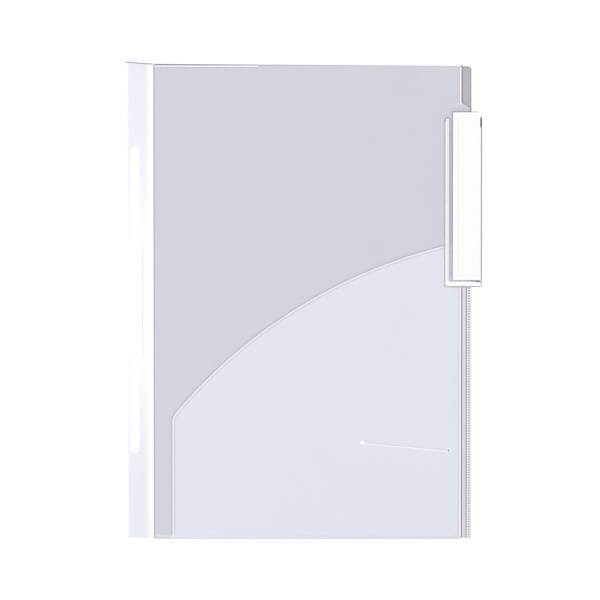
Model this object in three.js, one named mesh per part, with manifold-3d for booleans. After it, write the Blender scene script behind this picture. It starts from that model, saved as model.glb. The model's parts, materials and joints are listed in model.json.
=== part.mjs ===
// A4 medical chart folder: a white spine band, two clear covers hinged to it, a pocket folded up
// inside the back cover, a plastic paper fastener threaded through the band, and an index holder
// with its title card on the front cover's tab. It lies closed on its back cover.
// Millimetres, +Z up, +Y towards the folder's head, +X from the spine to the fore edge.

import * as THREE from 'three';
import * as BufferGeometryUtils from 'three/addons/utils/BufferGeometryUtils.js';
import Module from 'manifold-3d';

const wasm = await Module();
wasm.setup();

// Spine band
const bandLength = 310;
const bandWall = 0.8;
const spineReach = 23.2;
const noseRadius = 5;
const hingeGap = 0.3;
const lipDrop = 0.45;

// Covers: widths from the hinge line beside the band, setbacks from the back cover's fore edge
const coverSheet = 0.6;
const spineHeight = 12;
const backWidth = 201.9;
const backHeadInset = 3.4;
const backCorner = 2;
const frontSetback = 5.7;
const frontHeadInset = 1.8;
const frontCorner = 1.6;

// Index tab on the front cover's fore edge
const tabReach = 5.9;
const tabHead = 128.5;
const tabFoot = 10.5;
const tabShoulder = 2.8;

// Pocket folded up from the back cover's foot
const pocketSheet = 0.4;
const pocketGap = 0.3;
const pocketInset = 11.3;
const pocketSideHeight = 82;
const pocketCorner = 2.4;
const pocketArcRadius = 329;
const pocketForeHeight = 194.5;
const pocketWeld = 2.8;
const pocketWeldRise = 0.45;

// Slit for a small card in the pocket
const slitStartSetback = 69.3;
const slitStartHeight = 61.9;
const slitEndSetback = 13.9;
const slitEndHeight = 57.2;
const slitWidth = 0.5;
const slitStartHole = 1.3;
const slitEndHole = 0.8;

// Paper fastener, two legs at the standard pitch of two punched holes
const holePitch = 80;
const fastenerInset = 12.4;
const barWidth = 10;
const barLength = 74.5;
const barThickness = 1;
const barCorner = 0.8;
const legWidth = 6.2;
const legReach = 59.5;
const legThickness = 0.8;
const slotClearance = 0.4;
const slotLength = 5.8;
const seatGap = 0.25;

// Index holder and title card
const filmSheet = 0.25;
const filmGap = 0.2;
const holderOverhang = 7.2;
const holderWidth = 23.8;
const holderHead = 118.9;
const holderFoot = 9;
const holderCorner = 1.3;
const holderSideWeld = 3.2;
const holderFootWeld = 4;
const cardSheet = 0.3;
const cardForeGap = 1.1;
const cardWidth = 17.6;
const cardLength = 109.6;
const cardCorner = 1;

const arcSteps = 10;
const longArcSteps = 36;

const headY = bandLength / 2;
const footY = -bandLength / 2;
const backHeadY = headY - backHeadInset;
const frontHeadY = headY - frontHeadInset;
const frontWidth = backWidth - frontSetback;

const whitePolypropylene = new THREE.MeshStandardMaterial({ color: 0xf4f5f8, roughness: 0.3, metalness: 0 });
const whiteMoulding = new THREE.MeshStandardMaterial({ color: 0xfbfbfb, roughness: 0.35, metalness: 0 });
const whiteCard = new THREE.MeshStandardMaterial({ color: 0xfdfdfd, roughness: 0.8, metalness: 0 });

function clearSheet(color, opacity) {
  return new THREE.MeshStandardMaterial({ color, opacity, transparent: true, roughness: 0.4, metalness: 0 });
}

function toSolid(geometry) {
  const bare = geometry.clone();
  bare.deleteAttribute('normal');
  bare.deleteAttribute('uv');
  const merged = BufferGeometryUtils.mergeVertices(bare, 1e-4);
  return new wasm.Manifold(new wasm.Mesh({
    numProp: 3,
    vertProperties: new Float32Array(merged.attributes.position.array),
    triVerts: new Uint32Array(merged.index.array),
  }));
}

function toMesh(name, solid, material) {
  const data = solid.getMesh();
  const geometry = new THREE.BufferGeometry();
  geometry.setAttribute('position', new THREE.BufferAttribute(data.vertProperties, 3));
  geometry.setIndex(new THREE.BufferAttribute(data.triVerts, 1));
  geometry.computeVertexNormals();
  const mesh = new THREE.Mesh(geometry, material);
  mesh.name = name;
  return mesh;
}

// A flat outline in X and Y, given its thickness upward from the height z
function sheet(shape, z, thickness, curveSegments = arcSteps) {
  const geometry = new THREE.ExtrudeGeometry(shape, { depth: thickness, bevelEnabled: false, curveSegments });
  return toSolid(geometry.translate(0, 0, z));
}

// A section in X and Z, drawn out along Y from one height to another
function section(shape, fromY, toY) {
  const geometry = new THREE.ExtrudeGeometry(shape, {
    depth: toY - fromY,
    bevelEnabled: false,
    curveSegments: arcSteps,
  });
  return toSolid(geometry.rotateX(Math.PI / 2).translate(0, toY, 0));
}

// A profile in Y and Z, drawn out along X and centred on it
function sideProfile(shape, width) {
  const geometry = new THREE.ExtrudeGeometry(shape, { depth: width, bevelEnabled: false, curveSegments: arcSteps });
  geometry.translate(0, 0, -width / 2);
  const turn = new THREE.Matrix4().makeBasis(
    new THREE.Vector3(0, 1, 0),
    new THREE.Vector3(0, 0, 1),
    new THREE.Vector3(1, 0, 0),
  );
  return toSolid(geometry.applyMatrix4(turn));
}

function block(x0, x1, y0, y1, z0, z1) {
  const geometry = new THREE.BoxGeometry(x1 - x0, y1 - y0, z1 - z0);
  return toSolid(geometry.translate((x0 + x1) / 2, (y0 + y1) / 2, (z0 + z1) / 2));
}

// A closed outline through corner points, each rounded to its own radius
function roundedOutline(corners) {
  const shape = new THREE.Shape();
  corners.forEach(([x, y, radius], i) => {
    const [px, py] = corners[(i + corners.length - 1) % corners.length];
    const [nx, ny] = corners[(i + 1) % corners.length];
    const corner = new THREE.Vector2(x, y);
    const back = new THREE.Vector2(px - x, py - y).normalize();
    const ahead = new THREE.Vector2(nx - x, ny - y).normalize();
    const half = back.angleTo(ahead) / 2;
    const reach = radius / Math.tan(half);
    const start = corner.clone().addScaledVector(back, reach);
    const end = corner.clone().addScaledVector(ahead, reach);
    if (i === 0) shape.moveTo(start.x, start.y);
    else shape.lineTo(start.x, start.y);
    if (radius > 0) shape.quadraticCurveTo(x, y, end.x, end.y);
  });
  shape.closePath();
  return shape;
}

// Spine band: two straight flanges, each tangent to the round nose. The hinge line is at x = 0.
const lipX = -coverSheet / 2 - hingeGap;
const frontLipZ = spineHeight - lipDrop;
const backLipZ = coverSheet / 2 + lipDrop;
const noseCentre = new THREE.Vector2(noseRadius - spineReach, noseRadius);

function tangentAngle(lipZ, side) {
  const toLip = new THREE.Vector2(lipX, lipZ).sub(noseCentre);
  return toLip.angle() + side * Math.acos(noseRadius / toLip.length());
}

const frontAngle = tangentAngle(frontLipZ, 1);
const backAngle = tangentAngle(backLipZ, -1);
const frontSlope = frontAngle - Math.PI / 2;

function bandSection() {
  const innerRadius = noseRadius - bandWall;
  const frontInset = new THREE.Vector2(Math.cos(frontAngle), Math.sin(frontAngle)).multiplyScalar(-bandWall);
  const backInset = new THREE.Vector2(Math.cos(backAngle), Math.sin(backAngle)).multiplyScalar(-bandWall);
  const shape = new THREE.Shape();
  shape.moveTo(lipX + frontInset.x, frontLipZ + frontInset.y);
  shape.lineTo(lipX, frontLipZ);
  shape.absarc(noseCentre.x, noseCentre.y, noseRadius, frontAngle, backAngle, false);
  shape.lineTo(lipX, backLipZ);
  shape.lineTo(lipX + backInset.x, backLipZ + backInset.y);
  shape.absarc(noseCentre.x, noseCentre.y, innerRadius, backAngle, frontAngle, true);
  shape.closePath();
  return shape;
}

// The front flange's outer face: x runs towards the hinge line and z out of the flange
function onFrontFlange(object) {
  const frame = new THREE.Group();
  const run = (fastenerInset + lipX) / Math.cos(frontSlope);
  frame.position.set(
    lipX - run * Math.cos(frontSlope),
    0,
    frontLipZ - run * Math.sin(frontSlope),
  );
  frame.rotation.y = -frontSlope;
  frame.add(object);
  frame.updateMatrixWorld(true);
  return frame;
}

function slotCutter(side) {
  const halfWidth = legWidth / 2 + slotClearance;
  const outline = roundedOutline([
    [-halfWidth, side * holePitch / 2 - slotLength / 2, slotClearance],
    [halfWidth, side * holePitch / 2 - slotLength / 2, slotClearance],
    [halfWidth, side * holePitch / 2 + slotLength / 2, slotClearance],
    [-halfWidth, side * holePitch / 2 + slotLength / 2, slotClearance],
  ]);
  const cutter = new THREE.ExtrudeGeometry(outline, { depth: bandWall * 3, bevelEnabled: false });
  const mesh = new THREE.Mesh(cutter.translate(0, 0, -bandWall * 2));
  onFrontFlange(mesh);
  return toSolid(cutter.applyMatrix4(mesh.matrixWorld));
}

function spineBand() {
  const band = section(bandSection(), footY, headY)
    .subtract(slotCutter(1))
    .subtract(slotCutter(-1));
  return toMesh('spine_band', band, whitePolypropylene);
}

// Fastener: the bar lies on the flange, and each leg dives through its slot and on along the inside
function fastenerStrip() {
  const barTop = seatGap + barThickness;
  const legTop = -bandWall - seatGap;
  const legBottom = legTop - legThickness;
  const barEnd = barLength / 2;
  const rampEnd = holePitch - barEnd;
  const tip = holePitch / 2 + legReach;
  const half = [
    [barEnd, barTop],
    [rampEnd, legTop],
    [tip, legTop],
    [tip, legBottom],
    [rampEnd - barThickness / 2, legBottom],
    [barEnd - barThickness / 2, seatGap],
  ];
  const mirrored = half.map(([y, z]) => [-y, z]).reverse();
  const profile = [...half, ...mirrored].map(([y, z]) => new THREE.Vector2(y, z));

  const bar = roundedOutline([
    [-barWidth / 2, -barEnd, barCorner],
    [barWidth / 2, -barEnd, barCorner],
    [barWidth / 2, barEnd, barCorner],
    [-barWidth / 2, barEnd, barCorner],
  ]);
  const tongue = new THREE.Shape();
  tongue.absarc(0, tip - legWidth / 2, legWidth / 2, 0, Math.PI, false);
  tongue.absarc(0, legWidth / 2 - tip, legWidth / 2, Math.PI, 2 * Math.PI, false);
  tongue.closePath();
  const plan = sheet(bar, legBottom, barTop - legBottom).add(sheet(tongue, legBottom, barTop - legBottom));
  const strip = sideProfile(new THREE.Shape(profile), barWidth).intersect(plan);
  return onFrontFlange(toMesh('fastener_strip', strip, whiteMoulding));
}

// The cover's edge on the hinge line is a half round on the axis
function hingeEdge(fromY, toY) {
  const round = new THREE.Shape();
  round.absarc(0, 0, coverSheet / 2, Math.PI / 2, 3 * Math.PI / 2, false);
  round.closePath();
  return section(round, fromY, toY);
}

// Front cover in its own plane, with the hinge axis at the origin
function frontCover() {
  const tabX = frontWidth + tabReach;
  const outline = roundedOutline([
    [0, footY, 0],
    [frontWidth, footY, frontCorner],
    [frontWidth, tabFoot, 0],
    [tabX, tabFoot + tabShoulder, 0],
    [tabX, tabHead - tabShoulder, 0],
    [frontWidth, tabHead, 0],
    [frontWidth, frontHeadY, frontCorner],
    [0, frontHeadY, 0],
  ]);
  const cover = sheet(outline, -coverSheet / 2, coverSheet).add(hingeEdge(footY, frontHeadY));
  return toMesh('front_cover', cover, clearSheet(0xdadde8, 0.45));
}

// Where the pocket's long curve starts and stops, and the centre that its radius gives
function pocketCurve() {
  const start = new THREE.Vector2(pocketInset, footY + pocketSideHeight);
  const end = new THREE.Vector2(backWidth, footY + pocketForeHeight);
  const chord = end.clone().sub(start);
  const middle = start.clone().addScaledVector(chord, 0.5);
  const rise = Math.sqrt(pocketArcRadius ** 2 - chord.lengthSq() / 4);
  const normal = new THREE.Vector2(chord.y, -chord.x).normalize();
  const centre = middle.addScaledVector(normal, rise);
  return { start, end, centre };
}

// The curve runs on past the fore edge, where the cover's own width ends it
function pocketOutline() {
  const { start, end, centre } = pocketCurve();
  const angleAt = (point) => Math.atan2(point.y - centre.y, point.x - centre.x);
  const startAngle = angleAt(start) - pocketCorner / pocketArcRadius;
  const endAngle = angleAt(end) - pocketWeld / pocketArcRadius;
  const shape = new THREE.Shape();
  shape.moveTo(pocketInset, footY - pocketWeld);
  shape.lineTo(centre.x + pocketArcRadius * Math.cos(endAngle), footY - pocketWeld);
  shape.lineTo(centre.x + pocketArcRadius * Math.cos(endAngle), centre.y + pocketArcRadius * Math.sin(endAngle));
  shape.absarc(centre.x, centre.y, pocketArcRadius, endAngle, startAngle, false);
  shape.quadraticCurveTo(start.x, start.y, pocketInset, start.y - pocketCorner);
  shape.closePath();
  return shape;
}

function slitCutter(z, thickness) {
  const start = new THREE.Vector2(backWidth - slitStartSetback, footY + slitStartHeight);
  const end = new THREE.Vector2(backWidth - slitEndSetback, footY + slitEndHeight);
  const side = end.clone().sub(start).normalize().rotateAround(new THREE.Vector2(), Math.PI / 2);
  side.multiplyScalar(slitWidth / 2);
  const line = new THREE.Shape([
    start.clone().sub(side),
    end.clone().sub(side),
    end.clone().add(side),
    start.clone().add(side),
  ]);
  const startHole = new THREE.Shape().absarc(start.x, start.y, slitStartHole, 0, 2 * Math.PI, false);
  const endHole = new THREE.Shape().absarc(end.x, end.y, slitEndHole, 0, 2 * Math.PI, false);
  return [line, startHole, endHole]
    .map((shape) => sheet(shape, z, thickness))
    .reduce((all, one) => all.add(one));
}

const plateTop = coverSheet / 2;
const pocketZ = plateTop + pocketGap;
const pocketTop = pocketZ + pocketSheet;
const foldRadius = (pocketTop + plateTop) / 2;

// The sheet's side profile where it turns up at the foot and runs on as the pocket
function foldProfile() {
  const turnY = footY + foldRadius;
  const innerRadius = pocketGap / 2;
  const shape = new THREE.Shape();
  shape.moveTo(turnY, plateTop);
  shape.lineTo(turnY, -plateTop);
  shape.absarc(turnY, pocketTop - foldRadius, foldRadius, -Math.PI / 2, Math.PI / 2, true);
  shape.lineTo(headY, pocketTop);
  shape.lineTo(headY, pocketZ);
  shape.absarc(turnY, pocketZ - innerRadius, innerRadius, Math.PI / 2, -Math.PI / 2, false);
  shape.closePath();
  return shape;
}

// Back cover and pocket are one sheet: it turns up at the foot and is welded along the fore edge
function backCover() {
  const outline = roundedOutline([
    [0, footY, 0],
    [pocketInset, footY, 0],
    [pocketInset, footY + foldRadius, 0],
    [backWidth, footY + foldRadius, 0],
    [backWidth, backHeadY, backCorner],
    [0, backHeadY, 0],
  ]);
  const foldWidth = backWidth - pocketInset;
  const pocketShape = sheet(pocketOutline(), -coverSheet, pocketTop + 2 * coverSheet, longArcSteps);
  const weldTop = plateTop + pocketWeldRise;
  const weldX = backWidth - pocketWeld;

  const pocket = sideProfile(foldProfile(), foldWidth)
    .translate([pocketInset + foldWidth / 2, 0, 0])
    .intersect(pocketShape)
    .subtract(slitCutter(plateTop + pocketGap / 2, pocketTop));
  const weld = block(weldX, backWidth, footY + foldRadius, headY, 0, weldTop).intersect(pocketShape);
  const press = block(weldX, backWidth + pocketWeld, footY + foldRadius, headY, weldTop, pocketTop + pocketWeld);

  const cover = sheet(outline, -plateTop, coverSheet)
    .add(hingeEdge(footY, backHeadY))
    .add(pocket.subtract(press))
    .add(weld);
  return toMesh('back_cover', cover, clearSheet(0xb9b9c3, 0.9));
}

// Index holder: one film folded at the fore edge, welded at its side and foot and open at the head
const filmLow = -coverSheet / 2 - filmGap - filmSheet;
const cardZ = coverSheet / 2 + filmGap;
const filmHigh = cardZ + cardSheet + filmGap;
const holderForeX = backWidth + holderOverhang;
const holderInset = holderForeX - holderWidth;

function indexHolder() {
  const outline = roundedOutline([
    [holderInset, holderFoot, holderCorner],
    [holderForeX, holderFoot, 0],
    [holderForeX, holderHead, 0],
    [holderInset, holderHead, holderCorner],
  ]);
  const foldRadius = (filmHigh + filmSheet - filmLow) / 2;
  const foldZ = (filmHigh + filmSheet + filmLow) / 2;
  const foldX = holderForeX - foldRadius;
  const weldTop = coverSheet / 2 + filmGap + filmSheet;

  const outer = new THREE.Shape();
  outer.moveTo(holderInset, filmLow);
  outer.lineTo(foldX, filmLow);
  outer.absarc(foldX, foldZ, foldRadius, -Math.PI / 2, Math.PI / 2, false);
  outer.lineTo(holderInset + holderSideWeld, filmHigh + filmSheet);
  outer.lineTo(holderInset + holderSideWeld - (filmHigh + filmSheet - weldTop), weldTop);
  outer.lineTo(holderInset, weldTop);
  outer.closePath();

  const inner = new THREE.Shape();
  const innerRadius = foldRadius - filmSheet;
  inner.moveTo(holderInset - holderSideWeld, filmLow + filmSheet);
  inner.lineTo(foldX, filmLow + filmSheet);
  inner.absarc(foldX, foldZ, innerRadius, -Math.PI / 2, Math.PI / 2, false);
  inner.lineTo(holderInset + holderSideWeld, filmHigh);
  inner.lineTo(holderInset + holderSideWeld - (filmHigh + filmSheet - weldTop), weldTop - filmSheet);
  inner.lineTo(holderInset - holderSideWeld, weldTop - filmSheet);
  inner.closePath();

  const skin = section(outer, holderFoot, holderHead).subtract(section(inner, holderFoot - 1, holderHead + 1));
  const tabX = frontWidth + tabReach;
  const footWeldTop = holderFoot + holderFootWeld;
  const footOverTab = block(holderInset, foldX, holderFoot, footWeldTop, cardZ, filmHigh + filmSheet / 2);
  const footPastTab = block(tabX + filmGap, foldX, holderFoot, footWeldTop, filmLow, filmHigh);
  const holder = skin
    .add(footOverTab)
    .add(footPastTab)
    .intersect(sheet(outline, filmLow, filmHigh + filmSheet - filmLow));
  return toMesh('index_holder', holder, clearSheet(0xe4e6ee, 0.5));
}

function titleCard() {
  const foot = holderFoot + holderFootWeld + filmGap;
  const foreX = holderForeX - cardForeGap;
  const outline = roundedOutline([
    [foreX - cardWidth, foot, 0],
    [foreX, foot, 0],
    [foreX, foot + cardLength, cardCorner],
    [foreX - cardWidth, foot + cardLength, 0],
  ]);
  return toMesh('title_card', sheet(outline, cardZ, cardSheet), whiteCard);
}

// Closed, the holder's back film lies on the pocket at the fore edge
function closedSlope() {
  const backPlane = coverSheet / 2;
  const pocketTop = backPlane + coverSheet / 2 + pocketGap + pocketSheet;
  const restZ = pocketTop + hingeGap - filmLow;
  return Math.asin((spineHeight - restZ) / backWidth);
}

const folder = new THREE.Group();
folder.add(spineBand());
folder.add(fastenerStrip());

const back = new THREE.Group();
back.position.z = coverSheet / 2;
back.add(backCover());
folder.add(back);

const front = new THREE.Group();
front.position.z = spineHeight;
front.rotation.y = closedSlope();
front.add(frontCover());
front.add(indexHolder());
front.add(titleCard());
folder.add(front);

// The origin is under the middle of the folder
const foreX = holderForeX * Math.cos(closedSlope());
folder.position.x = (spineReach - foreX) / 2;

export default folder;
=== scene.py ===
import json
import math

import bmesh
import bpy
from mathutils import Matrix, Vector


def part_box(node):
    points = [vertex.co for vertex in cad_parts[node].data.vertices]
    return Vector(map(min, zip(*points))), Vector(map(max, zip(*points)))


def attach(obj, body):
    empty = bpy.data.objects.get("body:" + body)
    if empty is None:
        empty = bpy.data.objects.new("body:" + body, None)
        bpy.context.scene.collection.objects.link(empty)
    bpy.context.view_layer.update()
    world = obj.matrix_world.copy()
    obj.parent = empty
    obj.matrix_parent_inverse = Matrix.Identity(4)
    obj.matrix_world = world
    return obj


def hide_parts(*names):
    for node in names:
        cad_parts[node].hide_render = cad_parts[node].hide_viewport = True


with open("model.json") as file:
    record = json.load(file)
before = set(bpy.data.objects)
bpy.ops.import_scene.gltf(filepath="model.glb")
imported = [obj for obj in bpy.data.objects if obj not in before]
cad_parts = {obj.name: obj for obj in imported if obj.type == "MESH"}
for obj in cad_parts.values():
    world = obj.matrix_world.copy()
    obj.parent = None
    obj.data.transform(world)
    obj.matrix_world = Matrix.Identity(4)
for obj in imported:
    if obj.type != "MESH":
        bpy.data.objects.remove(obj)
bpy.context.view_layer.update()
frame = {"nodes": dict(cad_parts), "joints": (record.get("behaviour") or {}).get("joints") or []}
print("frame loaded:", ", ".join(sorted(frame["nodes"])))

# Medical chart folder, closed and lying on its back cover. Every piece is modelled in millimetres
# from the hinge line beside the band, then set in the frame: x runs to the fore edge, y to the head.
mm = 0.001
slack = 0.01  # places this close, in millimetres, count as the same
spare = 20  # sheet beyond the outline, cut away once the edge lines are drawn
joints = {joint["name"]: Vector(joint["pos_m"]) for joint in frame["joints"]}
frontHinge = joints["front_cover_hinge"]
backHinge = joints["back_cover_hinge"]

covers = {
    "sheet": 0.6,
    "frontHead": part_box("front_cover")[1].y / mm,
    "backHead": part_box("back_cover")[1].y / mm,
    "foot": -155,
    "backWidth": 201.9,
    "backCorner": 2,
    "frontWidth": 196.7,
    "frontCorner": 1.6,
    "hingeRound": 0.3,
    "hingeBevel": 0.27,
}

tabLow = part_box("front_cover")[0]
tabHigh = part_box("front_cover")[1]
closedSlope = math.atan2(frontHinge.z - tabLow.z - covers["hingeRound"] * mm, tabHigh.x - frontHinge.x)
onBack = Matrix.Translation(backHinge) @ Matrix.Scale(mm, 4)
onFront = Matrix.Translation(frontHinge) @ Matrix.Rotation(closedSlope, 4, "Y") @ Matrix.Scale(mm, 4)
onFloor = Matrix.Translation((frontHinge.x, 0, 0)) @ Matrix.Scale(mm, 4)


# Small helpers for modelling by hand
def clearSelection():
    if bpy.context.mode != "OBJECT":
        bpy.ops.object.mode_set(mode="OBJECT")
    bpy.ops.object.select_all(action="DESELECT")


def startSheet(name, x0, x1, y0, y1, z):
    clearSelection()
    bpy.ops.mesh.primitive_plane_add(size=1, location=((x0 + x1) / 2, (y0 + y1) / 2, z))
    piece = bpy.context.object
    piece.name = piece.data.name = name
    piece.scale = (x1 - x0, y1 - y0, 1)
    bpy.ops.object.transform_apply(location=True, rotation=True, scale=True)
    bpy.ops.object.mode_set(mode="EDIT")
    return piece


def startBlock(name, x0, x1, y0, y1, z0, z1):
    clearSelection()
    bpy.ops.mesh.primitive_cube_add(size=1, location=((x0 + x1) / 2, (y0 + y1) / 2, (z0 + z1) / 2))
    piece = bpy.context.object
    piece.name = piece.data.name = name
    piece.scale = (x1 - x0, y1 - y0, z1 - z0)
    bpy.ops.object.transform_apply(location=True, rotation=True, scale=True)
    bpy.ops.object.mode_set(mode="EDIT")
    return piece


# Selects what lies wholly where the test says, in edit mode
def pick(piece, kind, test):
    bpy.ops.mesh.select_mode(type=kind)
    bpy.ops.mesh.select_all(action="DESELECT")
    mesh = bmesh.from_edit_mesh(piece.data)
    parts = {"VERT": mesh.verts, "EDGE": mesh.edges, "FACE": mesh.faces}[kind]
    for part in parts:
        corners = [part.co] if kind == "VERT" else [vertex.co for vertex in part.verts]
        part.select_set(all(test(corner) for corner in corners))
    bmesh.update_edit_mesh(piece.data)


def near(value, wanted):
    return abs(value - wanted) < slack


def between(value, low, high):
    return low - slack < value < high + slack


# Cuts the whole piece along a straight line; what lies on the normal's side can be cleared away
def cutAlong(point, normal, clear=False):
    bpy.ops.mesh.select_mode(type="FACE")
    bpy.ops.mesh.select_all(action="SELECT")
    bpy.ops.mesh.bisect(plane_co=point, plane_no=normal, clear_outer=clear, use_fill=False)


def paint(piece, finish):
    piece.active_material_index = piece.data.materials.find(finish.name)
    bpy.ops.object.material_slot_assign()


def paintWhere(piece, finish, test):
    pick(piece, "FACE", test)
    paint(piece, finish)


# Draws lines of edge finishes inside the outline, the outermost first, and the plain finish within.
# Corner arcs smaller than merge become one point, so that the next line stays inside the outline.
def drawRings(piece, rings, plain, merge=0.0):
    bpy.ops.mesh.select_mode(type="FACE")
    bpy.ops.mesh.select_all(action="SELECT")
    for finish, width in rings:
        paint(piece, finish)
        bpy.ops.mesh.inset(thickness=width)
        if merge:
            bpy.ops.mesh.remove_doubles(threshold=merge)
    paint(piece, plain)


def giveFinishes(piece, finishes):
    piece.data.materials.clear()
    for finish in finishes:
        piece.data.materials.append(finish)


def makeActive(piece):
    clearSelection()
    piece.select_set(True)
    bpy.context.view_layer.objects.active = piece


def applyModifier(piece, kind, settings):
    makeActive(piece)
    bpy.ops.object.modifier_add(type=kind)
    modifier = piece.modifiers[-1]
    for key, value in settings.items():
        setattr(modifier, key, value)
    bpy.ops.object.modifier_apply(modifier=modifier.name)


def cutWith(piece, cutters):
    for cutter in cutters:
        applyModifier(piece, "BOOLEAN", {"operation": "DIFFERENCE", "solver": "EXACT", "object": cutter})
        bpy.data.objects.remove(cutter)


def joinPieces(pieces):
    makeActive(pieces[0])
    for piece in pieces[1:]:
        piece.select_set(True)
    bpy.ops.object.join()
    return bpy.context.object


def outwardFaces(piece):
    makeActive(piece)
    bpy.ops.object.mode_set(mode="EDIT")
    bpy.ops.mesh.select_all(action="SELECT")
    bpy.ops.mesh.remove_doubles(threshold=0.002)
    bpy.ops.mesh.normals_make_consistent(inside=False)
    bpy.ops.object.mode_set(mode="OBJECT")


# Sets a finished piece in the frame and hands it to its body
def setInFrame(piece, place, body, node, passesLight=False):
    makeActive(piece)
    if passesLight:  # hazy sheet scatters light onwards and hardly shades what lies under it
        piece.visible_shadow = piece.visible_diffuse = False
    piece.matrix_world = place
    bpy.ops.object.transform_apply(location=True, rotation=True, scale=True)
    bpy.ops.object.shade_smooth_by_angle(angle=math.radians(35))
    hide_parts(node)
    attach(piece, body)
    reach = [[round(corner[axis] * 1000, 2) for corner in piece.bound_box] for axis in range(3)]
    span = [(min(places), max(places)) for places in reach]
    print("made", piece.name, len(piece.data.polygons), "faces, mm from/to", span)


# Materials
def linear(colour):
    channels = [int(colour[i:i + 2], 16) / 255 for i in (1, 3, 5)]
    return [c / 12.92 if c <= 0.04045 else ((c + 0.055) / 1.055) ** 2.4 for c in channels] + [1]


def addNode(tree, kind, place, settings, links):
    made = tree.nodes.new(kind)
    made.location = place
    for key, value in settings.items():
        if isinstance(key, int) or key in made.inputs:
            made.inputs[key].default_value = value
        else:
            setattr(made, key, value)
    for socket, source in links.items():
        tree.links.new(source, made.inputs[socket])
    return made


def newFinish(name, settings):
    material = bpy.data.materials.new(name)
    material.use_nodes = True
    tree = material.node_tree
    tree.nodes.clear()
    shader = addNode(tree, "ShaderNodeBsdfPrincipled", (600, 0), settings, {})
    addNode(tree, "ShaderNodeOutputMaterial", (900, 0), {}, {"Surface": shader.outputs["BSDF"]})
    place = addNode(tree, "ShaderNodeTexCoord", (-1000, 0), {}, {})
    return material, tree, shader, place.outputs["Object"]


# A sheet has two faces, and each takes its share of the sheet's whole opacity
def perSurface(total):
    return 1 - math.sqrt(1 - total)


# Polypropylene sheet, calendered between rollers: hazy clear, with a fine matt grain on both faces
# and a very slow waviness, so its gloss is soft and never mirror-like.
def calenderedSheet(name, light, dark, opacity, grainDepth):
    material, tree, shader, position = newFinish(name, {
        "IOR": 1.49,
        "Alpha": perSurface(opacity),
        "Specular IOR Level": 0.25,
    })
    cloudWidth = 0.045  # a patch of haze, in metres
    grainWidth = 0.0011  # real grain is about 0.3 mm; drawn coarser so that it shows
    cloud = addNode(tree, "ShaderNodeTexNoise", (-700, 200), {"Scale": 1 / cloudWidth, "Detail": 2.0},
                    {"Vector": position})
    colour = addNode(tree, "ShaderNodeMix", (100, 200), {
        "data_type": "RGBA", 6: linear(light), 7: linear(dark),
    }, {0: cloud.outputs["Fac"]})
    grain = addNode(tree, "ShaderNodeTexNoise", (-700, -200), {"Scale": 1 / grainWidth, "Detail": 3.0},
                    {"Vector": position})
    rough = addNode(tree, "ShaderNodeMapRange", (-300, 0), {"To Min": 0.42, "To Max": 0.56},
                    {"Value": grain.outputs["Fac"]})
    bump = addNode(tree, "ShaderNodeBump", (200, -200), {"Strength": 0.35, "Distance": grainDepth},
                   {"Height": grain.outputs["Fac"]})
    tree.links.new(colour.outputs[2], shader.inputs["Base Color"])
    tree.links.new(rough.outputs["Result"], shader.inputs["Roughness"])
    tree.links.new(bump.outputs["Normal"], shader.inputs["Normal"])
    return material


# The same sheet where it was cut or pressed, as a painted line: the light ones are painted highlights,
# the dark ones painted shade, and with glow set the line glows a little, a painted glow and no lamp.
def paintedEdgeTone(name, light, dark, opacity, glow=0.0):
    material, tree, shader, position = newFinish(name, {
        "IOR": 1.49,
        "Alpha": perSurface(opacity),
        "Roughness": 0.35,
        "Specular IOR Level": 0.3,
        "Emission Color": linear(light),
        "Emission Strength": glow,
    })
    burrWidth = 0.004  # in metres
    burr = addNode(tree, "ShaderNodeTexNoise", (-700, 0), {"Scale": 1 / burrWidth, "Detail": 1.0},
                   {"Vector": position})
    colour = addNode(tree, "ShaderNodeMix", (100, 200), {
        "data_type": "RGBA", 6: linear(light), 7: linear(dark),
    }, {0: burr.outputs["Fac"]})
    tree.links.new(colour.outputs[2], shader.inputs["Base Color"])
    return material
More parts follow.
